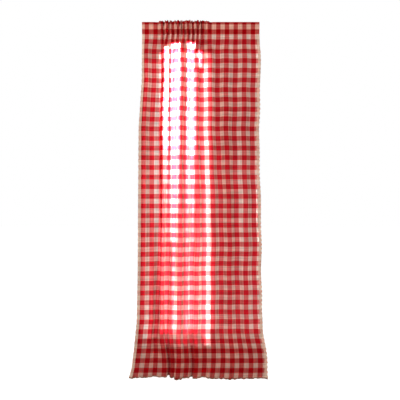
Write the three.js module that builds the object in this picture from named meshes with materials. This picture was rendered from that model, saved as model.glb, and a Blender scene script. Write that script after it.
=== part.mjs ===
// Semi-sheer gingham curtain: one panel of cotton gauze, gathered in its middle on a sewn rod pocket.
// Millimetres, +Z up. The origin is the middle of the heading, on the line where the cloth bears on
// its rod. The room is on the -Y side. A "place" is a distance across the flat cloth from its left
// edge, counted in repeats of the check, so that each fold sits on the check it creases.
import * as THREE from 'three';

// The cloth
const REPEAT = 66;
const FLAT_REPEATS = 17.3;
const CLOTH = 2;
const SIDE_HEM = { width: 20, thickness: 3 };
const BOTTOM_HEM = { width: 14, thickness: 3 };
const PIECE_GAP = 0.3;

// The hang, measured down from the rod line. The folds reach their full steepness, and then their
// full depth, at these distances below the seam. The hem lifts where the cloth hangs back.
const SEAM_Z = -82;
const HEM_Z = -2436;
const FOLDS_FULL = 135;
const DEPTH_FULL = 500;
const DEPTH_HELD = 0.4;
const HEM_LIFT = { slope: 0.2, height: 500 };

// The rod pocket. Its channel rises from springZ to the crown over the rod, is clear down to lowZ,
// narrows to closedZ and is stitched shut below that. Puckers stand higher than the plain crown.
const CHANNEL = { halfDepth: 10, crown: 1, springZ: -9, lowZ: -50, middleZ: -66, closedZ: -76 };
const CROWN_STEPS = 4;
const CHANNEL_FLOOR = 0.7;
const SEAM_HALF_DEPTH = 1.2;
const PUCKER_RISE = 0.3;

// The gathers in the heading, between two places across the cloth. They are a little steeper and
// closer here and there, in slow waves, and start and stop over a share of one in "ends".
const GATHERS = {
  from: 1.3,
  to: 12,
  count: 13,
  steepness: 85,
  unevenness: 0.08,
  unevenWaves: 1.7,
  crowding: 0.012,
  crowdingWaves: 2.3,
  ends: 8,
  samples: 6,
};

// The panel's rows stand closest where gathers turn into folds, and near the hem
const PANEL_HEIGHTS = [
  SEAM_Z - PIECE_GAP, -110, -145, -190, -260, -380, -580, -850, -1200, -1600, -1950, -2170,
  -2320, HEM_Z + BOTTOM_HEM.width, HEM_Z,
];

// The plain cloth beside the gathers: columns to each repeat, and the width that fine ripples too
// small to model take up at the seam
const PLAIN = { columns: 5, seamWidth: 0.9 };

// Where the left edge hangs: height down the cloth, and distance from the middle of the heading
const LEFT_EDGE = [
  { z: 0, x: -400 },
  { z: -400, x: -402 },
  { z: -720, x: -424 },
  { z: -1700, x: -431 },
  { z: -2040, x: -437 },
  { z: -2250, x: -458 },
  { z: HEM_Z, x: -482 },
];

// Each fold's flank turns the cloth towards the room (lean 1) or away from it (lean -1). It stands
// in the middle between two dark stripes, reaches half its width to each side, and is this many
// degrees steep at four heights, steeper where those stripes hang closer together. Past 90 degrees
// the cloth doubles back over itself.
const FOLD_HEIGHTS = { top: -205, middle: -1150, low: -2110, hem: HEM_Z };
const FOLDS = [
  { place: 0.3, half: 0.35, lean: 1, top: 60, middle: 15, low: 10, hem: 0 },
  { place: 1.05, half: 0.5, lean: -1, top: 55, middle: 55, low: 30, hem: 0 },
  { place: 2.05, half: 0.5, lean: -1, top: 35, middle: 15, low: 95, hem: 35 },
  { place: 3.05, half: 0.65, lean: 1, top: 130, middle: 130, low: 80, hem: 20 },
  { place: 4.05, half: 0.5, lean: -1, top: 60, middle: 75, low: 105, hem: 80 },
  { place: 5.05, half: 0.5, lean: 1, top: 110, middle: 90, low: 105, hem: 150 },
  { place: 6.05, half: 0.5, lean: 1, top: 85, middle: 90, low: 60, hem: 90 },
  { place: 7.05, half: 0.5, lean: -1, top: 85, middle: 90, low: 75, hem: 55 },
  { place: 8.05, half: 0.5, lean: -1, top: 100, middle: 80, low: 90, hem: 55 },
  { place: 9.05, half: 0.5, lean: 1, top: 125, middle: 105, low: 110, hem: 155 },
  { place: 10.05, half: 0.5, lean: -1, top: 95, middle: 85, low: 60, hem: 45 },
  { place: 11.05, half: 0.5, lean: 1, top: 60, middle: 30, low: 0, hem: 45 },
  { place: 12.05, half: 0.5, lean: -1, top: 60, middle: 60, low: 45, hem: 0 },
  { place: 13.05, half: 0.5, lean: 1, top: 45, middle: 55, low: 45, hem: 20 },
  { place: 14.05, half: 0.5, lean: -1, top: 25, middle: 65, low: 45, hem: 20 },
  { place: 15.05, half: 0.5, lean: 1, top: 35, middle: 20, low: 50, hem: 0 },
  { place: 16.05, half: 0.5, lean: -1, top: 35, middle: 50, low: 25, hem: 20 },
];

const radians = THREE.MathUtils.degToRad;
const lerp = THREE.MathUtils.lerp;
const ease = (share) => THREE.MathUtils.smoothstep(share, 0, 1);
const hump = (offset, half) =>
  Math.abs(offset) < half ? Math.cos((Math.PI / 2) * (offset / half)) ** 2 : 0;

// A smooth curve through a quantity that is given at a few heights, listed from the top down
function atHeight(z, heights, values) {
  const last = heights.length - 1;
  if (z >= heights[0]) return values[0];
  if (z <= heights[last]) return values[last];
  const below = heights.findIndex((height) => height < z);
  const above = below - 1;
  const span = heights[below] - heights[above];
  const slope = (k) =>
    k === 0 || k === last ? 0 : (values[k + 1] - values[k - 1]) / (heights[k + 1] - heights[k - 1]);
  const t = (z - heights[above]) / span;
  return (
    (2 * t ** 3 - 3 * t ** 2 + 1) * values[above] +
    (t ** 3 - 2 * t ** 2 + t) * slope(above) * span +
    (3 * t ** 2 - 2 * t ** 3) * values[below] +
    (t ** 3 - t ** 2) * slope(below) * span
  );
}

// Straight lines through the left edge's table
function leftEdge(z) {
  const below = LEFT_EDGE.findIndex((row) => row.z <= z);
  if (below <= 0) return LEFT_EDGE[0].x;
  const a = LEFT_EDGE[below - 1];
  const b = LEFT_EDGE[below];
  return lerp(a.x, b.x, (z - a.z) / (b.z - a.z));
}

// How fully the gathers stand at a place, from 0 at their ends to 1 along their middle
function gathered(place) {
  const share = (place - GATHERS.from) / (GATHERS.to - GATHERS.from);
  return ease(share * GATHERS.ends) * ease((1 - share) * GATHERS.ends);
}

function gatherAngle(place) {
  const share = (place - GATHERS.from) / (GATHERS.to - GATHERS.from);
  const turn = 2 * Math.PI;
  const crowded = share + GATHERS.crowding * Math.sin(turn * GATHERS.crowdingWaves * share);
  const uneven = 1 + GATHERS.unevenness * Math.sin(turn * GATHERS.unevenWaves * share + 1);
  const steepness = radians(GATHERS.steepness) * uneven * gathered(place);
  return steepness * Math.sin(turn * GATHERS.count * crowded);
}

// From the seam down, the gathers fade and the folds grow. Their squares add up to one, so that
// together they take up the same width of cloth at each height.
function foldShare(z) {
  const drop = ease((SEAM_Z - z) / FOLDS_FULL);
  return { folds: Math.sin((drop * Math.PI) / 2), gathers: Math.cos((drop * Math.PI) / 2) };
}

function clothAngle(place, z) {
  const share = foldShare(z);
  const heights = Object.values(FOLD_HEIGHTS);
  let angle = share.gathers * gatherAngle(place);
  for (const fold of FOLDS) {
    const reach = hump(place - fold.place, fold.half);
    if (reach === 0) continue;
    const steepness = atHeight(z, heights, [fold.top, fold.middle, fold.low, fold.hem]);
    angle += fold.lean * radians(Math.max(0, steepness)) * share.folds * reach;
  }
  return angle;
}

// The places of the mesh's columns: an even number to each gather, fewer beside them
function columnPlaces() {
  const places = [];
  const spread = (from, to, steps) => {
    for (let k = 0; k < steps; k += 1) places.push(lerp(from, to, k / steps));
  };
  const plain = (length) => Math.round(length * PLAIN.columns);
  spread(0, SIDE_HEM.width / REPEAT, 2);
  spread(SIDE_HEM.width / REPEAT, GATHERS.from, plain(GATHERS.from));
  spread(GATHERS.from, GATHERS.to, GATHERS.count * GATHERS.samples);
  const lastHem = FLAT_REPEATS - SIDE_HEM.width / REPEAT;
  spread(GATHERS.to, lastHem, plain(lastHem - GATHERS.to));
  spread(lastHem, FLAT_REPEATS, 2);
  places.push(FLAT_REPEATS);
  return places;
}
const PLACES = columnPlaces();

// Following a direction that is known at each place, in small steps, keeps the cloth's length
function follow(start, angleAt, widthAt) {
  const STEPS = 6;
  const position = start.clone();
  const points = [start];
  for (let column = 1; column < PLACES.length; column += 1) {
    const from = PLACES[column - 1];
    const step = (PLACES[column] - from) / STEPS;
    for (let k = 0; k < STEPS; k += 1) {
      const place = from + (k + 0.5) * step;
      const length = step * REPEAT * widthAt(place);
      position.x += Math.cos(angleAt(place)) * length;
      position.y -= Math.sin(angleAt(place)) * length;
    }
    points.push(position.clone());
  }
  return points;
}

// The gathers wave to both sides of the stitch line. Round the rod they only bulge away from it.
const WAVE = follow(new THREE.Vector2(0, 0), gatherAngle, () => 1).map((point) => -point.y);
const HALF_WAVE = Math.max(...WAVE.map(Math.abs));
const BULGE = WAVE.map((wave, column) =>
  Math.max(0, wave + HALF_WAVE * gathered(PLACES[column])),
);

// One level line of the cloth
function levelLine(z) {
  const share = foldShare(z);
  const seamWidth = (place) =>
    1 - (1 - PLAIN.seamWidth) * share.gathers * (1 - gathered(place));
  const start = new THREE.Vector2(leftEdge(z), 0);
  const points = follow(start, (place) => clothAngle(place, z), seamWidth);
  const held = DEPTH_HELD * share.folds * (1 - ease((SEAM_Z - z) / DEPTH_FULL));
  for (const point of points) point.y *= 1 - held;
  return points;
}

// The normal of a grid of points, from the neighbours along its rows and columns
function gridNormal(grid, row, column) {
  const rows = grid.length - 1;
  const columns = grid[0].length - 1;
  const along = new THREE.Vector3().subVectors(
    grid[row][Math.min(column + 1, columns)],
    grid[row][Math.max(column - 1, 0)],
  );
  const down = new THREE.Vector3().subVectors(
    grid[Math.min(row + 1, rows)][column],
    grid[Math.max(row - 1, 0)][column],
  );
  return along.cross(down).normalize();
}

// The front and back of a cloth whose middle surface is a grid. A level row is offset level, so
// that the cut edge there is flat.
function clothFaces(grid, thickness, isLevel) {
  return [0.5, -0.5].map((side) =>
    grid.map((points, row) =>
      points.map((point, column) => {
        const normal = gridNormal(grid, row, column);
        if (isLevel(row)) normal.setZ(0).normalize();
        return point.clone().addScaledVector(normal, side * thickness(row, column));
      }),
    ),
  );
}

// A closed body from a list of quads, each one four points that turn anticlockwise from outside
function bodyOf(quads) {
  const positions = [];
  const triangle = (a, b, c) => positions.push(...a.toArray(), ...b.toArray(), ...c.toArray());
  for (const [a, b, c, d] of quads) {
    if (a.distanceTo(c) <= b.distanceTo(d)) {
      triangle(a, b, c);
      triangle(a, c, d);
    } else {
      triangle(a, b, d);
      triangle(b, c, d);
    }
  }
  const geometry = new THREE.BufferGeometry();
  geometry.setAttribute('position', new THREE.Float32BufferAttribute(positions, 3));
  geometry.computeVertexNormals();
  return geometry;
}

// The panel: a slab of cloth with a front, a back and four cut edges
function panelGeometry() {
  const grid = PANEL_HEIGHTS.map((z) => {
    const lift = HEM_LIFT.slope * ease((HEM_Z + HEM_LIFT.height - z) / HEM_LIFT.height);
    return levelLine(z).map((point) => new THREE.Vector3(point.x, point.y, z + lift * point.y));
  });
  const rows = grid.length - 1;
  const columns = PLACES.length - 1;
  const thickness = (row, column) => {
    const fromSide = Math.min(PLACES[column], FLAT_REPEATS - PLACES[column]) * REPEAT;
    if (fromSide < SIDE_HEM.width) return SIDE_HEM.thickness;
    return row >= rows - 1 ? BOTTOM_HEM.thickness : CLOTH;
  };
  const [back, front] = clothFaces(grid, thickness, (row) => row === 0);
  const quads = [];
  for (let row = 0; row < rows; row += 1) {
    for (let column = 0; column < columns; column += 1) {
      const corners = (face) => [
        face[row][column],
        face[row + 1][column],
        face[row + 1][column + 1],
        face[row][column + 1],
      ];
      quads.push(corners(front), corners(back).reverse());
    }
    quads.push([back[row][0], back[row + 1][0], front[row + 1][0], front[row][0]]);
    quads.push([
      front[row][columns], front[row + 1][columns], back[row + 1][columns], back[row][columns],
    ]);
  }
  for (let column = 0; column < columns; column += 1) {
    const next = column + 1;
    quads.push([front[0][column], front[0][next], back[0][next], back[0][column]]);
    quads.push([back[rows][column], back[rows][next], front[rows][next], front[rows][column]]);
  }
  return bodyOf(quads);
}

// The rod pocket: front wall, crown over the rod and back wall, joined along the stitch line. Its
// gathers bulge away from the rod on both sides, and meet in one line at the stitches.
function pocketGeometry() {
  const { closedZ, middleZ, lowZ, springZ } = CHANNEL;
  const wallHeights = [SEAM_Z, closedZ, middleZ, lowZ, springZ];
  const seam = levelLine(SEAM_Z);
  const halfDepth = (column) => CHANNEL.halfDepth + BULGE[column];
  const wallRow = (z, side) => {
    const closing = ease((lowZ - z) / (lowZ - closedZ));
    return seam.map((point, column) => {
      const stitched = point.y + side * SEAM_HALF_DEPTH;
      return new THREE.Vector3(point.x, lerp(side * halfDepth(column), stitched, closing), z);
    });
  };
  const crownRow = (angle) =>
    seam.map((point, column) => {
      const rise = CHANNEL.crown - springZ + PUCKER_RISE * BULGE[column];
      const y = -halfDepth(column) * Math.cos(angle);
      return new THREE.Vector3(point.x, y, springZ + rise * Math.sin(angle));
    });
  const grid = wallHeights.map((z) => wallRow(z, -1));
  for (let k = 1; k < CROWN_STEPS; k += 1) grid.push(crownRow((Math.PI * k) / CROWN_STEPS));
  grid.push(...wallHeights.reverse().map((z) => wallRow(z, 1)));

  // The lowest row is joined cloth, so inside it the channel's floor is the row above
  const rows = grid.length;
  const columns = PLACES.length - 1;
  const isEnd = (row) => row === 0 || row === rows - 1;
  const [outer, inner] = clothFaces(grid, () => CLOTH, isEnd);
  const raised = (points, above) =>
    points.map((point, column) => point.clone().lerp(above[column], CHANNEL_FLOOR));
  inner[0] = raised(inner[0], inner[1]);
  inner[rows - 1] = raised(inner[rows - 1], inner[rows - 2]);
  const quads = [];
  for (let row = 0; row < rows; row += 1) {
    const next = (row + 1) % rows;
    for (let column = 0; column < columns; column += 1) {
      const corners = (face) => [
        face[row][column],
        face[row][column + 1],
        face[next][column + 1],
        face[next][column],
      ];
      quads.push(corners(outer), corners(inner).reverse());
    }
    quads.push([outer[row][0], outer[next][0], inner[next][0], inner[row][0]]);
    quads.push([
      inner[row][columns], inner[next][columns], outer[next][columns], outer[row][columns],
    ]);
  }
  return bodyOf(quads);
}

function piece(name, geometry, color) {
  const material = new THREE.MeshStandardMaterial({ color, roughness: 0.95, metalness: 0 });
  const mesh = new THREE.Mesh(geometry, material);
  mesh.name = name;
  return mesh;
}

const curtain = new THREE.Group();
curtain.name = 'curtain';
curtain.add(piece('panel', panelGeometry(), '#c4625c'));
curtain.add(piece('rod_pocket', pocketGeometry(), '#a8454a'));

export default curtain;
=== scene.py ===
import math

import bpy
import numpy as np
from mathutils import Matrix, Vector


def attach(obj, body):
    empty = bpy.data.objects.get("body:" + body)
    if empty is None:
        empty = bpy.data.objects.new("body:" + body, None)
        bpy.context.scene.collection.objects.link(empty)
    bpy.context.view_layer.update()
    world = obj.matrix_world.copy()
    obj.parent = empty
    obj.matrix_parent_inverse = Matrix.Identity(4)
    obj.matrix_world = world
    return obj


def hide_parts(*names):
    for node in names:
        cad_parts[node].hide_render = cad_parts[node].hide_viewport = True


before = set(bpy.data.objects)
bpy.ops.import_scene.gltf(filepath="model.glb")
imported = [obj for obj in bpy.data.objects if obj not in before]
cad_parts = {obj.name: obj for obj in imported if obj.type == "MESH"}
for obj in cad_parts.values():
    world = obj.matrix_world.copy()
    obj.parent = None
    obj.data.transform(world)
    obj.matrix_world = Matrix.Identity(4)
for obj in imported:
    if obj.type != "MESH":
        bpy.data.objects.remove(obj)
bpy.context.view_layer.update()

# A semi-sheer gingham curtain of cotton gauze, gathered on a rod pocket. Lengths in this script are
# millimetres until a mesh is made. A "place" is a distance across the flat cloth from its left
# edge, in repeats of the check.
MM = 0.001

# The cloth
REPEAT = 66.0
FLAT_REPEATS = 17.3
FLAT_WIDTH = FLAT_REPEATS * REPEAT
FIRST_RED = 0.56
ROW_REPEAT = 66.2
FIRST_RED_ROW = 8.0

# The hang, measured down from the rod line. The folds are fully steep, and then fully deep, at these
# distances below the seam. The hem lifts where the cloth hangs back.
SEAM_Z = -82.0
HEM_Z = -2436.0
FOLDS_FULL = 135.0
DEPTH_FULL = 500.0
DEPTH_HELD = 0.4
HEM_LIFT_SLOPE = 0.2
HEM_LIFT_HEIGHT = 500.0

# How much a row of the weave rises where a fold comes forward, and how far above the hem that starts
ROW_RISE = 0.16
ROW_RISE_HEIGHT = 900.0

# The rod pocket: a channel that is clear down to CHANNEL_LOW_Z and closes at the stitch line
CHANNEL_HALF_DEPTH = 10.0
CROWN_Z = 1.0
SPRING_Z = -9.0
CHANNEL_LOW_Z = -42.0
CHANNEL_CLOSED_Z = -82.0
SEAM_HALF_DEPTH = 1.2

# The puckers round the channel. They drift sideways in two waves, a slow and a quick one, and carry
# fine ripples. Narrow grooves lie between them. Rates are radians to a repeat of the check.
PUCKER_RISE = 0.5
PUCKER_DRIFT = 0.34
SLOW_DRIFT_RATE = 2.9
QUICK_DRIFT_RATE = 6.1
QUICK_DRIFT_SHARE = 0.7
QUICK_DRIFT_TURN = 2.6
PUCKER_FINE = 1.5
PUCKER_FINE_RATE = 19.0
PUCKER_FINE_TURN = 3.0
PUCKER_FULLNESS = 0.95
PUCKER_DEPTH = 1.2
DEEPEST_GROOVE = 2.0
GROOVE_START = 0.4
GROOVE_SPAN_LOSS = 0.9
GROOVE_SCATTER = 0.3
GROOVES = 15
GROOVE_DEPTH = 14.0
GROOVE_WIDTH = 0.13
GROOVE_LEAN = 0.6

# The gathers in the heading
GATHER_FROM = 1.3
GATHER_TO = 12.0
GATHER_COUNT = 13
GATHER_STEEPNESS = 85.0
GATHER_UNEVENNESS = 0.08
UNEVEN_WAVES = 1.7
GATHER_CROWDING = 0.012
CROWDING_WAVES = 2.3
GATHER_ENDS = 8
PLAIN_SEAM_WIDTH = 0.9

# Where the left edge hangs: heights, and distances from the middle of the heading
LEFT_EDGE_Z = [0, -400, -720, -1700, -2040, -2250, HEM_Z]
LEFT_EDGE_X = [-400, -402, -424, -431, -437, -458, -482]

# The folds: place, half width, lean towards the room (1) or away (-1), and steepness in degrees at
# the four heights. The first lies beside the left edge. Each of the others stands between two dark
# stripes, and is steeper where those hang closer together. Past 90 degrees the cloth doubles back
# over itself.
FOLD_HEIGHTS = [-205, -1150, -2110, HEM_Z]
FOLDS = [
    (0.3, 0.35, 1, (60, 15, 10, 0)),
    (1.05, 0.5, -1, (55, 55, 30, 0)),
    (2.05, 0.5, -1, (35, 15, 95, 35)),
    (3.05, 0.65, 1, (130, 130, 80, 20)),
    (4.05, 0.5, -1, (60, 75, 105, 80)),
    (5.05, 0.5, 1, (110, 90, 105, 150)),
    (6.05, 0.5, 1, (85, 90, 60, 90)),
    (7.05, 0.5, -1, (85, 90, 75, 55)),
    (8.05, 0.5, -1, (100, 80, 90, 55)),
    (9.05, 0.5, 1, (125, 105, 110, 155)),
    (10.05, 0.5, -1, (95, 85, 60, 45)),
    (11.05, 0.5, 1, (60, 30, 0, 45)),
    (12.05, 0.5, -1, (60, 60, 45, 0)),
    (13.05, 0.5, 1, (45, 55, 45, 20)),
    (14.05, 0.5, -1, (25, 65, 45, 20)),
    (15.05, 0.5, 1, (35, 20, 50, 0)),
    (16.05, 0.5, -1, (35, 50, 25, 20)),
]

# Small creases between the folds: how steep, how many to a repeat, and how far down the cloth one
# runs before it wanders into the next. Broader ones, a share as close, lie across them.
CREASE_STEEPNESS = 7.5
CREASES_PER_REPEAT = 2.3
CREASE_LENGTH = 620.0
CREASE_WANDER = 0.35
BROAD_CREASES = 0.61
CREASE_MIX = 0.6

# The cloth's level lines are followed in steps this fine
STEPS_PER_REPEAT = 110

# Hems. The side hems are turned to the back and stitched. The floor hem is double and overlocked.
SIDE_HEM = 18.0
FLOOR_HEM = 9.0
HEM_GAP = 0.8

# The side hems scallop between their stitches: the waves' length, how far they move the edge out
# and sideways, how far in from the edge they reach, and how far they slant across the hem
SCALLOP = 30.0
LEFT_SCALLOP = 1.3 * SCALLOP
RIGHT_OUT, RIGHT_SIDEWAYS, RIGHT_REACH, RIGHT_SLANT = 4.6, 3.0, 55.0, 0.7
LEFT_OUT, LEFT_SIDEWAYS, LEFT_REACH, LEFT_SLANT = 2.0, 1.2, 45.0, 0.4
SCALLOP_FADE = 1.5
SCALLOPS_BELOW_SEAM = 40.0
SCALLOPS_FULL = 200.0

# The floor hem ripples, out and down, over this much of its height
RIPPLE = 31.0
RIPPLE_OUT = 6.0
RIPPLE_DOWN = 2.2
RIPPLE_HEIGHT = 70.0
RIPPLE_FADE = 1.6
DROP_RIPPLE = 1.7 * RIPPLE

# The two floor corners, where the stitched hems are stiff, swing out and flare sideways: how far,
# over what width from the edge, and from what height
CORNER_HEIGHT = 130.0
LEFT_CORNER_OUT, LEFT_CORNER_WIDTH = 16.0, 60.0
RIGHT_CORNER_OUT, RIGHT_CORNER_WIDTH = 14.0, 70.0
FLARE_HEIGHT = 70.0
FLARE_WIDTH = 60.0
LEFT_FLARE = 9.0
RIGHT_FLARE = 8.0

# Sewing
STITCH_PITCH = 3.5
STITCH_LENGTH = 2.6
STITCH_RADIUS = 0.35
OVERLOCK_PITCH = 2.6
OVERLOCK_RADIUS = 0.88
OVERLOCK_DEPTH = 1.9
OVERLOCK_HEIGHT = 5.0


def ease(share):
    """0 to 1 along a share, starting and ending softly."""
    t = np.clip(share, 0.0, 1.0)
    return t * t * (3.0 - 2.0 * t)


def hump(offset, half):
    """A smooth hump, 1 in its middle and 0 from half its width outwards."""
    across = np.clip(offset / half, -1, 1)
    return np.where(np.abs(offset) < half, np.cos(np.pi / 2 * across) ** 2, 0.0)


def at_height(z, values):
    """A smooth curve down the cloth through values given at FOLD_HEIGHTS, held level at both ends."""
    heights = np.array(FOLD_HEIGHTS, dtype=float)
    values = np.array(values, dtype=float)
    slopes = np.zeros_like(values)
    slopes[1:-1] = (values[2:] - values[:-2]) / (heights[2:] - heights[:-2])
    z = np.clip(z, heights[-1], heights[0])
    above = np.clip(np.searchsorted(-heights, -z, side="right") - 1, 0, len(heights) - 2)
    span = heights[above + 1] - heights[above]
    t = (z - heights[above]) / span
    return (
        (2 * t**3 - 3 * t**2 + 1) * values[above]
        + (t**3 - 2 * t**2 + t) * slopes[above] * span
        + (3 * t**2 - 2 * t**3) * values[above + 1]
        + (t**3 - t**2) * slopes[above + 1] * span
    )


def gathered(place):
    """1 where the heading is gathered and 0 where it is plain."""
    share = (place - GATHER_FROM) / (GATHER_TO - GATHER_FROM)
    return ease(share * GATHER_ENDS) * ease((1 - share) * GATHER_ENDS)


def gather_angle(place):
    """How the cloth turns along the stitch line, in radians. Gathers are uneven and crowd in places."""
    share = (place - GATHER_FROM) / (GATHER_TO - GATHER_FROM)
    crowded = share + GATHER_CROWDING * np.sin(2 * np.pi * CROWDING_WAVES * share)
    uneven = 1 + GATHER_UNEVENNESS * np.sin(2 * np.pi * UNEVEN_WAVES * share + 1)
    steepness = np.radians(GATHER_STEEPNESS) * uneven * gathered(place)
    return steepness * np.sin(2 * np.pi * GATHER_COUNT * crowded)


def crease_angle(place, z):
    """Slight creases that wander, deepen and die out down the cloth."""
    wander = CREASE_WANDER * np.sin(2 * np.pi * z / (2.1 * CREASE_LENGTH) + 1.7 * place)
    depth = 0.5 + 0.5 * np.sin(2 * np.pi * z / CREASE_LENGTH + 2.4 * place)
    fine = np.sin(2 * np.pi * (CREASES_PER_REPEAT * place + wander))
    broad = np.sin(2 * np.pi * (BROAD_CREASES * CREASES_PER_REPEAT * place - wander + 0.3))
    return np.radians(CREASE_STEEPNESS) * depth * (CREASE_MIX * fine + CREASE_MIX * broad)


def fold_share(z):
    """The folds' and the gathers' shares at a height. Their squares add up to one."""
    drop = ease((SEAM_Z - z) / FOLDS_FULL)
    return np.sin(drop * np.pi / 2), np.cos(drop * np.pi / 2)


def followed_lines(z, places):
    """Level lines of the cloth, followed from the left edge by the way the cloth turns."""
    steps = int(round(FLAT_REPEATS * STEPS_PER_REPEAT))
    step = FLAT_REPEATS / steps
    middles = (np.arange(steps) + 0.5) * step
    folds, gathers = fold_share(z)
    angle = gathers[:, None] * gather_angle(middles)[None, :]
    for place, half, lean, steepness in FOLDS:
        steep = np.radians(np.maximum(0.0, at_height(z, steepness))) * folds
        angle = angle + lean * steep[:, None] * hump(middles - place, half)[None, :]
    angle = angle + folds[:, None] * crease_angle(middles[None, :], z[:, None])
    width = 1 - (1 - PLAIN_SEAM_WIDTH) * gathers[:, None] ** 2 * (1 - gathered(middles))[None, :]
    length = step * REPEAT * width
    at = np.clip(places / step, 0, steps)
    before = np.minimum(at.astype(int), steps - 1)
    part = at - before
    lines = []
    for turned in (np.cos(angle), -np.sin(angle)):
        run = np.hstack([np.zeros((len(z), 1)), np.cumsum(turned * length, axis=1)])
        lines.append(run[:, before] * (1 - part) + run[:, before + 1] * part)
    x, y = lines
    x += np.interp(-z, -np.array(LEFT_EDGE_Z, dtype=float), LEFT_EDGE_X)[:, None]
    held = DEPTH_HELD * folds * (1 - ease((SEAM_Z - z) / DEPTH_FULL))
    return x, y * (1 - held)[:, None]


def cloth_lines(z, places):
    """Level lines of the cloth at heights z through places: x and y, one row for each height.
    From the stitch line down to the full folds each line of the weave hangs straight."""
    x, y = followed_lines(z, places)
    ends, _ = followed_lines(np.array([SEAM_Z, SEAM_Z - FOLDS_FULL]), places)
    drop = ease((SEAM_Z - z) / FOLDS_FULL)[:, None]
    straight = ends[0] * (1 - drop) + ends[1] * drop
    return np.where(z[:, None] > SEAM_Z - FOLDS_FULL, straight, x), y


def waviness(along, period, seed):
    """Uneven ripples along a hem: the wave's height swells and fades and its period drifts."""
    drift = 0.8 * np.sin(along / (3.7 * period) + seed)
    swell = 0.65 + 0.35 * np.sin(along / (2.3 * period) + 2.0 * seed)
    return swell * np.sin(2 * np.pi * along / period + drift)


def cloth_points(z, places):
    """The hanging cloth's middle surface below the seam, with the ripples of its hems."""
    x, y = cloth_lines(z, places)
    across = places[None, :] * REPEAT
    height = z[:, None]
    lift = HEM_LIFT_SLOPE * ease((HEM_Z + HEM_LIFT_HEIGHT - height) / HEM_LIFT_HEIGHT)
    from_right = FLAT_WIDTH - across
    right = np.clip(1 - from_right / RIGHT_REACH, 0, 1) ** SCALLOP_FADE
    left = np.clip(1 - across / LEFT_REACH, 0, 1) ** SCALLOP_FADE
    below = ease((SEAM_Z - SCALLOPS_BELOW_SEAM - height) / SCALLOPS_FULL)
    down_right = height + RIGHT_SLANT * from_right
    down_left = height - LEFT_SLANT * across
    # The last number of each wave only sets where it starts
    y = y + below * right * RIGHT_OUT * waviness(down_right, SCALLOP, 0.4)
    x = x + below * right * RIGHT_SIDEWAYS * waviness(down_right, SCALLOP, 1.9)
    y = y + below * left * LEFT_OUT * waviness(down_left, LEFT_SCALLOP, 2.2)
    x = x + below * left * LEFT_SIDEWAYS * waviness(height, LEFT_SCALLOP, 3.1)
    above_hem = height - HEM_Z
    near_hem = np.clip(1 - above_hem / RIPPLE_HEIGHT, 0, 1) ** RIPPLE_FADE
    y = y + near_hem * RIPPLE_OUT * waviness(across, RIPPLE, 0.9)
    drop = near_hem * RIPPLE_DOWN * waviness(across, DROP_RIPPLE, 2.6)
    left_corner = ease(1 - across / LEFT_CORNER_WIDTH) * LEFT_CORNER_OUT
    right_corner = ease(1 - from_right / RIGHT_CORNER_WIDTH) * RIGHT_CORNER_OUT
    y = y - ease(1 - above_hem / CORNER_HEIGHT) * (left_corner + right_corner)
    left_flare = ease(1 - across / FLARE_WIDTH) * LEFT_FLARE
    right_flare = ease(1 - from_right / FLARE_WIDTH) * RIGHT_FLARE
    x = x + ease(1 - above_hem / FLARE_HEIGHT) * (right_flare - left_flare)
    return np.stack([x, y, np.broadcast_to(height, x.shape) + lift * y + drop], axis=-1)


def pinched(places, rise):
    """Narrow grooves between the puckers, each with a lean and depth of its own."""
    depth = np.zeros_like(places)
    span = GATHER_TO - GATHER_FROM - GROOVE_SPAN_LOSS
    for number in range(GROOVES):
        scattered = number + GROOVE_SCATTER * math.sin(5.1 * number)
        foot = GATHER_FROM + GROOVE_START + span * scattered / (GROOVES - 1)
        line = foot + GROOVE_LEAN * math.sin(2.3 * number + 0.7) * (1 - rise)
        deep = GROOVE_DEPTH * (0.7 + 0.3 * math.sin(3.7 * number + 1.3))
        depth += deep * np.exp(-(((places - line) / GROOVE_WIDTH) ** 2))
    return depth


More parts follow.
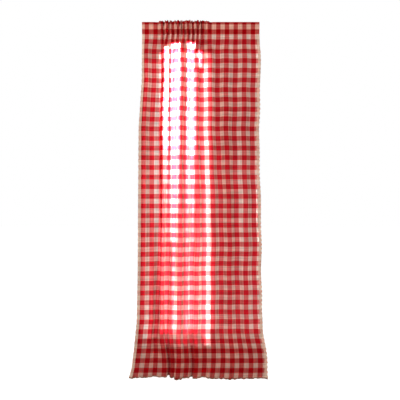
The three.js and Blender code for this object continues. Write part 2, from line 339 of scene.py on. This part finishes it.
def pocket_points(places, turns):
    """The heading round its channel. turns runs from the front stitch line (0), over the crown
    (0.5), to the back stitch line (1)."""
    x, y = cloth_lines(np.array([SEAM_Z]), places)
    x, seam_y = x[0], y[0]
    deepest = np.max(np.abs(seam_y))
    # How far each line of the cloth is from where it would hang if the gathers were even
    one_gather = (GATHER_TO - GATHER_FROM) / GATHER_COUNT / 2
    before = np.interp(places - one_gather, places, x)
    after = np.interp(places + one_gather, places, x)
    even = (before + 2 * x + after) / 4
    even = np.where(gathered(places) > 0.999, even, x)
    wobble = (x - even) * ease(gathered(places) * 4 - 3)
    plain = x - wobble
    wall = SPRING_Z - SEAM_Z
    arc = np.pi / 2 * CHANNEL_HALF_DEPTH
    total = 2 * (wall + arc)
    rows = []
    flat = []
    for turn in turns:
        run = turn * total
        side = -1 if turn <= 0.5 else 1
        up = min(run, total - run)
        # The puckers lean, fork and crowd on their way up to the crown
        rise = up / (total / 2)
        quick = np.sin(QUICK_DRIFT_RATE * places + QUICK_DRIFT_TURN * rise + side)
        shift = rise * (np.sin(SLOW_DRIFT_RATE * places + 1.1) + QUICK_DRIFT_SHARE * quick)
        drifted = places + PUCKER_DRIFT * shift * gathered(places)
        across = plain + np.interp(drifted, places, wobble)
        wave = -np.interp(drifted, places, seam_y)
        fine = np.sin(PUCKER_FINE_RATE * places + PUCKER_FINE_TURN * rise)
        wave = wave + PUCKER_FINE * rise * gathered(places) * fine
        fullness = np.clip(wave / (2 * deepest) + 0.5 * gathered(places), 0, 1)
        fullness = fullness ** PUCKER_FULLNESS
        bulge = 2 * PUCKER_DEPTH * deepest * fullness * ease(gathered(places) * 4)
        bulge = np.maximum(-DEEPEST_GROOVE, bulge - pinched(places, rise) * ease(rise * 2.2 - 0.2))
        half = CHANNEL_HALF_DEPTH + bulge
        if up <= wall:
            z = SEAM_Z + up
            closing = ease((CHANNEL_LOW_Z - z) / (CHANNEL_LOW_Z - CHANNEL_CLOSED_Z))
            depth = side * half * (1 - closing) + (seam_y + side * SEAM_HALF_DEPTH) * closing
            height = np.full_like(x, z)
        else:
            angle = (up - wall) / arc * np.pi / 2
            depth = side * half * np.cos(angle)
            height = SPRING_Z + (CROWN_Z - SPRING_Z + PUCKER_RISE * bulge) * np.sin(angle)
        rows.append(np.stack([across, depth, height], axis=-1))
        flat.append(total / 2 - run)
    return np.array(rows), np.array(flat)


def sheet_mesh(name, points, across, down, material, closed=False):
    """A sheet of quads through a grid of points. Its two UV maps are the flat cloth in metres, for
    the pattern, and the same fitted into the unit square."""
    rows, columns = points.shape[:2]
    index = np.arange(rows * columns).reshape(rows, columns)
    if closed:
        index = np.vstack([index, index[:1]])
    faces = np.stack(
        [index[:-1, :-1], index[1:, :-1], index[1:, 1:], index[:-1, 1:]], axis=-1
    ).reshape(-1, 4)
    mesh = bpy.data.meshes.new(name)
    mesh.vertices.add(rows * columns)
    mesh.vertices.foreach_set("co", (points.reshape(-1, 3) * MM).ravel())
    mesh.loops.add(faces.size)
    mesh.loops.foreach_set("vertex_index", faces.ravel())
    mesh.polygons.add(len(faces))
    mesh.polygons.foreach_set("loop_start", np.arange(0, faces.size, 4))
    mesh.update(calc_edges=True)
    mesh.validate()
    flat = np.stack(np.broadcast_arrays(across, down), axis=-1).reshape(-1, 2) * MM
    span = max(np.ptp(flat[:, 0]), np.ptp(flat[:, 1])) * 1.02
    fitted = (flat - flat.min(axis=0)) / span + 0.005
    loops = np.empty(len(mesh.loops), dtype=np.int32)
    mesh.loops.foreach_get("vertex_index", loops)
    for layer, values in (("FlatCloth", flat), ("OFBake", fitted)):
        uv = mesh.uv_layers.new(name=layer)
        uv.data.foreach_set("uv", values[loops].ravel())
    mesh.polygons.foreach_set("use_smooth", np.ones(len(mesh.polygons), dtype=bool))
    mesh.materials.append(material)
    piece = bpy.data.objects.new(name, mesh)
    bpy.context.scene.collection.objects.link(piece)
    return piece


def normals_of(points):
    """Unit normals of a grid of points, towards the room where the cloth faces it."""
    across = np.gradient(points, axis=1)
    down = np.gradient(points, axis=0)
    normal = np.cross(down, across)
    return normal / np.linalg.norm(normal, axis=-1, keepdims=True)


# Materials


def linear(hex_colour):
    """An sRGB hex colour as the linear colour that shaders take."""
    parts = [int(hex_colour[k : k + 2], 16) / 255 for k in (1, 3, 5)]
    return [c / 12.92 if c <= 0.04045 else ((c + 0.055) / 1.055) ** 2.4 for c in parts] + [1.0]


def add_node(tree, kind, settings=None, links=None):
    """One node, with its settings and what feeds its sockets."""
    node = tree.nodes.new(kind)
    for name, value in (settings or {}).items():
        if isinstance(name, int) or name in node.inputs:
            node.inputs[name].default_value = value
        else:
            setattr(node, name, value)
    for name, source in (links or {}).items():
        tree.links.new(source, node.inputs[name])
    return node


def new_material(name):
    """An empty material and its node tree."""
    material = bpy.data.materials.new(name)
    material.use_nodes = True
    material.node_tree.nodes.clear()
    return material, material.node_tree


def red_band(tree, length, repeat, first):
    """1 in the dyed half of each repeat and 0 in the undyed half, with an edge a few threads wide."""
    edge = 0.012
    shifted = add_node(tree, "ShaderNodeMath", {"operation": "SUBTRACT", 1: first * MM}, {0: length})
    turns = add_node(
        tree, "ShaderNodeMath", {"operation": "DIVIDE", 1: repeat * MM}, {0: shifted.outputs[0]}
    )
    # Whole turns keep the phase above zero, and the half turn puts the dyed band in its middle
    moved = add_node(tree, "ShaderNodeMath", {"operation": "ADD", 1: 100.5}, {0: turns.outputs[0]})
    phase = add_node(tree, "ShaderNodeMath", {"operation": "FRACT"}, {0: moved.outputs[0]})
    centred = add_node(tree, "ShaderNodeMath", {"operation": "SUBTRACT", 1: 0.5}, {0: phase.outputs[0]})
    size = add_node(tree, "ShaderNodeMath", {"operation": "ABSOLUTE"}, {0: centred.outputs[0]})
    band = add_node(
        tree,
        "ShaderNodeMapRange",
        {"interpolation_type": "SMOOTHSTEP", 1: 0.25 - edge, 2: 0.25 + edge, 3: 1.0, 4: 0.0},
        {0: size.outputs[0]},
    )
    return band.outputs[0]


def yarn_tone(tree, flat, across_mm, along_mm, detail):
    """Uneven yarns: noise drawn out along the thread. across_mm and along_mm are its feature size."""
    scale = add_node(
        tree,
        "ShaderNodeVectorMath",
        {"operation": "MULTIPLY", 1: (1 / (across_mm * MM), 1 / (along_mm * MM), 1.0)},
        {0: flat},
    )
    noise = add_node(
        tree,
        "ShaderNodeTexNoise",
        {"noise_dimensions": "2D", "Scale": 1.0, "Detail": detail, "Roughness": 0.6},
        {"Vector": scale.outputs[0]},
    )
    return noise.outputs[0]


# Cotton gauze, yarn-dyed and woven in a gingham check: matt, slightly fuzzy, open enough that light
# comes through. Two dyed yarns cross as full red, a dyed and an undyed one as pink.
CREAM = "#e3aa95"
PINK = "#b74b43"
RED = "#9c0008"
# Light that comes through is paler than the yarns, because part of it passes between them
CREAM_LIT = "#f0f4ee"
PINK_LIT = "#ff8c89"
RED_LIT = "#ff2a3a"
# Real gauze yarns are about 0.6 mm apart, too fine to show from across a room, so the yarns'
# unevenness is drawn at SLUB_WIDTH and the threads' relief at THREAD_PITCH, both in millimetres.
SLUB_WIDTH = 7.0
SLUB_LENGTH = 260.0
THREAD_PITCH = 1.2


def gingham_gauze(name, square_share, slanted_share, dyes=(CREAM, PINK, RED)):
    """The gauze. The two shares are how much light passes where it hangs square and slanted."""
    material, tree = new_material(name)
    uv = add_node(tree, "ShaderNodeUVMap", {"uv_map": "FlatCloth"})
    flat = uv.outputs[0]
    parts = add_node(tree, "ShaderNodeSeparateXYZ", {}, {0: flat})
    across, down = parts.outputs[0], parts.outputs[1]
    warp = red_band(tree, across, REPEAT, FIRST_RED * REPEAT)
    weft = red_band(tree, down, ROW_REPEAT, FIRST_RED_ROW)
    both = add_node(tree, "ShaderNodeMath", {"operation": "ADD"}, {0: warp, 1: weft})
    dyed = add_node(tree, "ShaderNodeMath", {"operation": "MULTIPLY", 1: 0.5}, {0: both.outputs[0]})
    warp_slub = yarn_tone(tree, flat, SLUB_WIDTH, SLUB_LENGTH, 3.0)
    weft_slub = yarn_tone(tree, flat, SLUB_LENGTH, SLUB_WIDTH, 3.0)
    slubs = add_node(tree, "ShaderNodeMath", {"operation": "ADD"}, {0: warp_slub, 1: weft_slub})
    tone = add_node(
        tree, "ShaderNodeMapRange", {1: 0.7, 2: 1.3, 3: 0.78, 4: 1.22}, {0: slubs.outputs[0]}
    )

    def dyed_colour(cream, pink, red):
        ramp = add_node(tree, "ShaderNodeValToRGB", {}, {0: dyed.outputs[0]})
        stops = ramp.color_ramp.elements
        stops[0].position, stops[0].color = 0.0, linear(cream)
        stops[1].position, stops[1].color = 1.0, linear(red)
        middle = stops.new(0.5)
        middle.color = linear(pink)
        shaded = add_node(
            tree, "ShaderNodeVectorMath", {"operation": "SCALE"}, {0: ramp.outputs[0], 3: tone.outputs[0]}
        )
        return shaded.outputs[0]

    face = dyed_colour(*dyes)
    glow = dyed_colour(CREAM_LIT, PINK_LIT, RED_LIT)
    threads = add_node(
        tree,
        "ShaderNodeTexNoise",
        {"noise_dimensions": "2D", "Scale": 1 / (THREAD_PITCH * MM), "Detail": 2.0},
        {"Vector": flat},
    )
    relief = add_node(
        tree, "ShaderNodeMath", {"operation": "ADD"}, {0: threads.outputs[0], 1: slubs.outputs[0]}
    )
    bump = add_node(
        tree, "ShaderNodeBump", {"Strength": 0.5, "Distance": 0.6 * MM}, {"Height": relief.outputs[0]}
    )
    cloth = add_node(
        tree,
        "ShaderNodeBsdfPrincipled",
        {"Roughness": 0.95, "Specular IOR Level": 0.02, "Sheen Weight": 0.01, "Sheen Roughness": 0.6},
        {"Base Color": face, "Normal": bump.outputs[0]},
    )
    lit = add_node(tree, "ShaderNodeBsdfTranslucent", {}, {"Color": glow, "Normal": bump.outputs[0]})
    # The share of light that passes through follows how square the cloth faces the room, which is the way
    # the back lights shine. This is partly real, since an open weave passes less light at a slant, and
    # partly painted shade: the sides of the folds are painted darker against the back glow than the flat
    # bays
    shape = add_node(tree, "ShaderNodeNewGeometry")
    facing = add_node(tree, "ShaderNodeSeparateXYZ", {}, {0: shape.outputs["Normal"]})
    square = add_node(tree, "ShaderNodeMath", {"operation": "ABSOLUTE"}, {0: facing.outputs[1]})
    through = add_node(
        tree,
        "ShaderNodeMapRange",
        {"interpolation_type": "SMOOTHSTEP", 1: 0.7, 2: 0.97, 3: slanted_share, 4: square_share},
        {0: square.outputs[0]},
    )
    gauze = add_node(
        tree, "ShaderNodeMixShader", {}, {0: through.outputs[0], 1: cloth.outputs[0], 2: lit.outputs[0]}
    )
    add_node(tree, "ShaderNodeOutputMaterial", {}, {"Surface": gauze.outputs[0]})
    return material


panel_gauze = gingham_gauze("gingham cotton gauze", 0.42, 0.15)
pocket_gauze = gingham_gauze("gingham cotton gauze at the pocket", 0.2, 0.03)
hem_gauze = gingham_gauze("gingham cotton gauze doubled at the floor hem", 0.2, 0.08)
# The side hems are turned selvedges of undyed yarn, where the rows show only faintly
SELVEDGE = ("#ecc9b2", "#dfb49f", "#cf9f8b")
side_hem_gauze = gingham_gauze("undyed cotton gauze selvedge, turned and stitched", 0.2, 0.08, SELVEDGE)


# Spun polyester sewing thread: matt beige, with a painted highlight where the light catches its twist,
# and darkened towards brown as painted shade for the shadowed edge of the curled floor hem that the
# overlock binds
def sewing_thread():
    material, tree = new_material("beige spun sewing thread darkened as painted hem shade")
    place = add_node(tree, "ShaderNodeTexCoord")
    twist = add_node(
        tree,
        "ShaderNodeTexNoise",
        {"Scale": 900.0, "Detail": 2.0},
        {"Vector": place.outputs["Object"]},
    )
    # The dark stop is painted shade, a brown for the shadowed curl of the floor hem, and the lighter stop
    # is a painted highlight on the twist
    colour = add_node(tree, "ShaderNodeValToRGB", {}, {0: twist.outputs[0]})
    colour.color_ramp.elements[0].position = 0.3
    colour.color_ramp.elements[0].color = linear("#846650")
    colour.color_ramp.elements[1].position = 0.7
    colour.color_ramp.elements[1].color = linear("#b8997c")
    thread = add_node(
        tree,
        "ShaderNodeBsdfPrincipled",
        {"Roughness": 0.75, "Sheen Weight": 0.2},
        {"Base Color": colour.outputs[0]},
    )
    add_node(tree, "ShaderNodeOutputMaterial", {}, {"Surface": thread.outputs[0]})
    return material


thread_darkened_for_hem_shade = sewing_thread()

# The hanging cloth, from the seam to the floor hem and between the side hems
COLUMNS = 394
UPPER_ROWS = 210
HEM_ROWS = 36
HEM_ROWS_REACH = 170.0
hem_place = SIDE_HEM / REPEAT
panel_places = np.linspace(hem_place, FLAT_REPEATS - hem_place, COLUMNS)
panel_z = np.concatenate([
    np.linspace(SEAM_Z, HEM_Z + HEM_ROWS_REACH, UPPER_ROWS, endpoint=False),
    np.linspace(HEM_Z + HEM_ROWS_REACH, HEM_Z + FLOOR_HEM, HEM_ROWS),
])
CROWN_ARC = np.pi / 2 * CHANNEL_HALF_DEPTH + SPRING_Z


def flat_down(points):
    """How far down the flat cloth from the crown each point is, below the pocket. Near the floor a
    row of the weave rises a little where a fold comes forward."""
    y, z = points[..., 1], points[..., 2]
    low = ease((HEM_Z + ROW_RISE_HEIGHT - z) / ROW_RISE_HEIGHT)
    return CROWN_ARC - z - ROW_RISE * low * y


panel_grid = cloth_points(panel_z, panel_places)
panel_cloth = sheet_mesh(
    "panel_cloth",
    panel_grid,
    panel_places[None, :] * REPEAT,
    flat_down(panel_grid),
    panel_gauze,
)

# The rod pocket
POCKET_TURNS = 57
POCKET_COLUMNS = 760
pocket_places = np.linspace(0, FLAT_REPEATS, POCKET_COLUMNS)
pocket_grid, pocket_flat = pocket_points(pocket_places, np.linspace(1, 0, POCKET_TURNS))
pocket_cloth = sheet_mesh(
    "rod_pocket_cloth",
    pocket_grid,
    pocket_places[None, :] * REPEAT,
    pocket_flat[:, None],
    pocket_gauze,
)


def side_hem(name, outer_place, inward):
    """A doubled side hem: one strip of cloth that comes to the edge, turns and runs back behind."""
    rows = 780
    z = np.linspace(SEAM_Z, HEM_Z + FLOOR_HEM * 0.5, rows)
    overlap = 2.0
    reach = np.linspace(SIDE_HEM + overlap, 0, 9)
    places = outer_place + inward * reach / REPEAT
    points = cloth_points(z, places)
    normal = normals_of(points) * inward * -1
    front = points + normal * HEM_GAP
    back = points[:, ::-1] - normal[:, ::-1] * HEM_GAP
    grid = np.concatenate([front[:, :-1], points[:, -1:], back[:, 1:]], axis=1)
    across = np.concatenate([places[:-1], places[-1:], places[::-1][1:]]) * REPEAT
    return sheet_mesh(name, grid, across[None, :], flat_down(grid), side_hem_gauze)


left_hem = side_hem("left_side_hem", 0.0, 1)
right_hem = side_hem("right_side_hem", FLAT_REPEATS, -1)


def tube(name, path, radius, sides, material):
    """A round thread or roll along a path."""
    tangent = np.gradient(path, axis=0)
    tangent /= np.linalg.norm(tangent, axis=1, keepdims=True)
    up = np.array([0.0, 0.0, 1.0])
    first = np.cross(tangent, up)
    first /= np.maximum(np.linalg.norm(first, axis=1, keepdims=True), 1e-9)
    second = np.cross(tangent, first)
    turn = np.linspace(0, 2 * np.pi, sides, endpoint=False)
    ring = first[None] * np.cos(turn)[:, None, None] + second[None] * np.sin(turn)[:, None, None]
    points = path[None] + ring * radius
    along = np.concatenate([[0], np.cumsum(np.linalg.norm(np.diff(path, axis=0), axis=1))])
    round_it = np.arange(sides)[:, None] * (2 * np.pi * radius / sides)
    return sheet_mesh(name, points, along[None, :] + 0 * round_it, round_it + 0 * along[None, :],
                      material, closed=True)


# The floor hem: the cloth's edge in two layers, bound by overlock thread
EDGE_POINTS = 1150
edge_places = np.linspace(0, FLAT_REPEATS, EDGE_POINTS)
hem_line = cloth_points(np.array([HEM_Z + FLOOR_HEM * 0.5]), edge_places)[0]


def floor_hem():
    """The edge of the cloth in two layers, a little apart."""
    rows = 5
    z = np.linspace(HEM_Z + FLOOR_HEM + 4, HEM_Z + 1.5, rows)
    front = cloth_points(z, edge_places)
    normal = normals_of(front)
    grid = np.concatenate([front + normal * HEM_GAP, (front - normal * HEM_GAP)[::-1]], axis=0)
    return sheet_mesh("floor_hem", grid, edge_places[None, :] * REPEAT, flat_down(grid), hem_gauze)


def overlock():
    """Thread wrapped round and round the floor hem's edge."""
    turns = FLAT_WIDTH / OVERLOCK_PITCH
    steps = int(turns * 8)
    places = np.linspace(0, FLAT_REPEATS, steps)
    along = np.stack([np.interp(places, edge_places, hem_line[:, k]) for k in range(3)], axis=-1)
    tangent = np.gradient(along, axis=0)
    tangent /= np.linalg.norm(tangent, axis=1, keepdims=True)
    outward = np.cross(tangent, np.array([0.0, 0.0, 1.0]))
    turn = 2 * np.pi * turns * np.linspace(0, 1, steps)
    over = np.cos(turn)[:, None] * outward * OVERLOCK_DEPTH
    under = np.sin(turn)[:, None] * np.array([0, 0, OVERLOCK_HEIGHT])
    return tube("floor_hem_overlock", along + over + under, OVERLOCK_RADIUS, 4, thread_darkened_for_hem_shade)


floor_hem_cloth = floor_hem()
floor_overlock = overlock()


def stitches(name, line, normal):
    """A row of machine stitches that lie on the cloth along a line of points."""
    length = np.concatenate([[0], np.cumsum(np.linalg.norm(np.diff(line, axis=0), axis=1))])
    starts = np.arange(STITCH_PITCH, length[-1] - STITCH_PITCH, STITCH_PITCH)
    vertices = []
    faces = []
    for start in starts:
        ends = []
        for at in (start, start + STITCH_LENGTH):
            spot = np.array([np.interp(at, length, line[:, k]) for k in range(3)])
            out = np.array([np.interp(at, length, normal[:, k]) for k in range(3)])
            ends.append((spot, out))
        (a, out_a), (b, out_b) = ends
        run = (b - a) / np.linalg.norm(b - a)
        side = np.cross(run, out_a)
        middle = (a + b) / 2 + (out_a + out_b) / 2 * STITCH_RADIUS * 2
        base = len(vertices)
        vertices.append(a)
        for turn in np.linspace(0, 2 * np.pi, 5)[:-1]:
            vertices.append(middle + STITCH_RADIUS * (math.cos(turn) * side + math.sin(turn) * out_a))
        vertices.append(b)
        for k in range(4):
            nxt = (k + 1) % 4
            faces.append((base, base + 1 + k, base + 1 + nxt))
            faces.append((base + 5, base + 1 + nxt, base + 1 + k))
    mesh = bpy.data.meshes.new(name)
    mesh.from_pydata([tuple(v * MM) for v in vertices], [], faces)
    mesh.materials.append(thread_darkened_for_hem_shade)
    piece = bpy.data.objects.new(name, mesh)
    bpy.context.scene.collection.objects.link(piece)
    return piece


seam_points = pocket_points(pocket_places, np.array([0.02, 0.012, 0.004]))[0]
seam_normal = normals_of(seam_points[::-1])[1]
pocket_stitches = stitches("pocket_stitches", seam_points[1] + seam_normal * 0.3, seam_normal)

stitch_z = np.linspace(SEAM_Z - 5, HEM_Z + 20, 600)


def side_stitches(name, place):
    """The row of stitches that holds a side hem, at one place across the cloth."""
    around = np.array([place - 0.02, place, place + 0.02])
    grid = cloth_points(stitch_z, around)
    normal = normals_of(grid)[:, 1]
    return stitches(name, grid[:, 1] + normal * (HEM_GAP + 0.2), normal)


left_stitches = side_stitches("left_hem_stitches", (SIDE_HEM - 3) / REPEAT)
right_stitches = side_stitches("right_hem_stitches", FLAT_REPEATS - (SIDE_HEM - 3) / REPEAT)

# What each piece rides on, and the solids that the cloth stands in for are hidden
hems = [left_hem, right_hem, floor_hem_cloth]
sewing = [floor_overlock, pocket_stitches, left_stitches, right_stitches]
for piece in [panel_cloth, pocket_cloth, *hems, *sewing]:
    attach(piece, "root")
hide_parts("panel")
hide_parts("rod_pocket")

# The camera, level with the middle of the cloth. The photograph's frame is 400 by 400 pixels.
FRAME_PIXELS = 400
PIXEL = 6.848
FRAME_CENTRE_X = -3.4
FRAME_CENTRE_Z = -1218.0
CAMERA_DISTANCE = 5500.0
SENSOR = 36.0

camera_data = bpy.data.cameras.new("camera")
camera_data.sensor_width = SENSOR
camera_data.lens = SENSOR * CAMERA_DISTANCE / (FRAME_PIXELS * PIXEL)
camera = bpy.data.objects.new("camera", camera_data)
camera.location = Vector((FRAME_CENTRE_X, -CAMERA_DISTANCE, FRAME_CENTRE_Z)) * MM
camera.rotation_euler = (math.pi / 2, 0, 0)
bpy.context.scene.collection.objects.link(camera)
bpy.context.scene.camera = camera


def softbox(name, size, place, target, watts):
    """A soft rectangular studio light, not seen by the camera itself."""
    data = bpy.data.lights.new(name, "AREA")
    data.shape = "RECTANGLE"
    data.size, data.size_y = size
    data.energy = watts
    data.color = linear("#ffffff")[:3]
    light = bpy.data.objects.new(name, data)
    light.location = place
    light.rotation_euler = (Vector(target) - Vector(place)).to_track_quat("-Z", "Y").to_euler()
    light.visible_camera = False
    bpy.context.scene.collection.objects.link(light)
    return light


softbox("key light", (1.8, 2.4), (-2.0, -2.4, 1.0), (0, 0, -1.1), 97)
softbox("fill light", (2.0, 3.0), (2.4, -3.0, -0.6), (0, 0, -1.3), 58)

# Narrow-beam softboxes close behind the cloth show how sheer it is. Places here are pixels of the
# photograph's frame. The broad ones give an even glow: left, right, top and bottom edge, and level.
# Narrower ones after them brighten single columns of the check.
BROAD_LIGHTS = [
    (140, 262, 26, 160, 0.34),
    (140, 263, 160, 334, 0.55),
    (140, 263, 334, 346, 0.22),
    (143, 160, 60, 338, 0.55),
    (159, 210, 52, 240, 1.9),
    (159, 210, 240, 334, 2.3),
    (163, 212, 334, 346, 0.8),
    (198.4, 201.6, 50, 66, 40),
    (207.6, 214.0, 56, 330, 0.9),
    (214.0, 222.0, 120, 330, 0.25),
    (256.6, 258.2, 45, 225, 1.0),
    (258.0, 259.6, 225, 330, 1.0),
    (163.2, 166.2, 240, 330, 3.2),
    (172.2, 176.4, 240, 334, 7.5),
    (186.3, 190.0, 240, 334, 7.5),
    (190.0, 194.4, 240, 328, 2.6),
    (197.9, 202.0, 240, 334, 3.2),
    (204.7, 209.4, 240, 346, 2.4),
]
# The strips shine through the bays that hang flat between the folds, and drift with them: left and
# right edge at the top, the same at the bottom, where the top is, and the level in each band
STRIP_LIGHTS = [
    (163.6, 168.8, 162.8, 167.2, 47, (56, 52, 12, 6, 4)),
    (171.2, 180.8, 169.4, 178.0, 43, (56, 56, 34, 26, 13)),
    (187.4, 195.6, 186.2, 194.4, 42, (56, 56, 30, 15, 7)),
    (203.6, 207.6, 204.4, 208.8, 66, (9, 6, 4, 3, 3)),
]
STRIP_TOP = 50
STRIP_BOTTOM = 240
STRIP_BANDS = [(0, 100), (100, 150), (150, 180), (180, 210), (210, 240)]
BACK_DISTANCE = 0.09
BEAM = math.radians(5)


def back_light(name, left, right, top, bottom, level):
    """A narrow-beam softbox behind the cloth that covers these pixels of the photograph's frame."""
    size = ((right - left) * PIXEL * MM, (bottom - top) * PIXEL * MM)
    middle_x = (FRAME_CENTRE_X + ((left + right) / 2 - 200) * PIXEL) * MM
    middle_z = (FRAME_CENTRE_Z - ((top + bottom) / 2 - 200) * PIXEL) * MM
    watts = level * math.pi * size[0] * size[1]
    place = (middle_x, BACK_DISTANCE, middle_z)
    light = softbox(name, size, place, (middle_x, 0, middle_z), watts)
    light.data.spread = BEAM


for number, edges in enumerate(BROAD_LIGHTS):
    back_light(f"broad back light {number}", *edges)
for number, (top_left, top_right, low_left, low_right, start, levels) in enumerate(STRIP_LIGHTS):
    for (top, bottom), level in zip(STRIP_BANDS, levels):
        top = max(top, start)
        down = ((top + bottom) / 2 - STRIP_TOP) / (STRIP_BOTTOM - STRIP_TOP)
        left = top_left + (low_left - top_left) * down
        right = top_right + (low_right - top_right) * down
        back_light(f"strip {number} from {top}", left, right, top, bottom, level)

# A pale floor just below the hem, and an even pale surround
FLOOR_CLEARANCE = 12.0
FLOOR_GLOW = 1.0
floor_mesh = bpy.data.meshes.new("floor")
half = 30.0
floor_z = HEM_Z * MM - FLOOR_CLEARANCE * MM
floor_mesh.from_pydata(
    [(-half, -half, floor_z), (half, -half, floor_z), (half, half, floor_z), (-half, half, floor_z)],
    [],
    [(0, 1, 2, 3)],
)
floor_material, floor_tree = new_material("pale studio floor")
# The floor glows only to the camera, so that it reads as pale as the surround and lights nothing
floor_paint = add_node(
    floor_tree,
    "ShaderNodeBsdfPrincipled",
    {"Roughness": 0.9, "Base Color": linear("#f6f5f3"), "Emission Color": linear("#ffffff")},
)
floor_ray = add_node(floor_tree, "ShaderNodeLightPath")
floor_glow = add_node(
    floor_tree, "ShaderNodeMapRange", {3: 0.0, 4: FLOOR_GLOW}, {0: floor_ray.outputs["Is Camera Ray"]}
)
floor_tree.links.new(floor_glow.outputs[0], floor_paint.inputs["Emission Strength"])
add_node(floor_tree, "ShaderNodeOutputMaterial", {}, {"Surface": floor_paint.outputs[0]})
floor_mesh.materials.append(floor_material)
floor = bpy.data.objects.new("floor", floor_mesh)
bpy.context.scene.collection.objects.link(floor)

# The surround is white to the camera, and lights the cloth dimly
SURROUND_LIGHT = 0.1
world = bpy.data.worlds.new("pale surround")
world.use_nodes = True
surround = world.node_tree.nodes["Background"]
surround.inputs[0].default_value = linear("#ffffff")
ray = add_node(world.node_tree, "ShaderNodeLightPath")
brightness = add_node(
    world.node_tree,
    "ShaderNodeMapRange",
    {3: SURROUND_LIGHT, 4: 1.0},
    {0: ray.outputs["Is Camera Ray"]},
)
world.node_tree.links.new(brightness.outputs[0], surround.inputs[1])
bpy.context.scene.world = world
bpy.context.scene.view_settings.view_transform = "Standard"
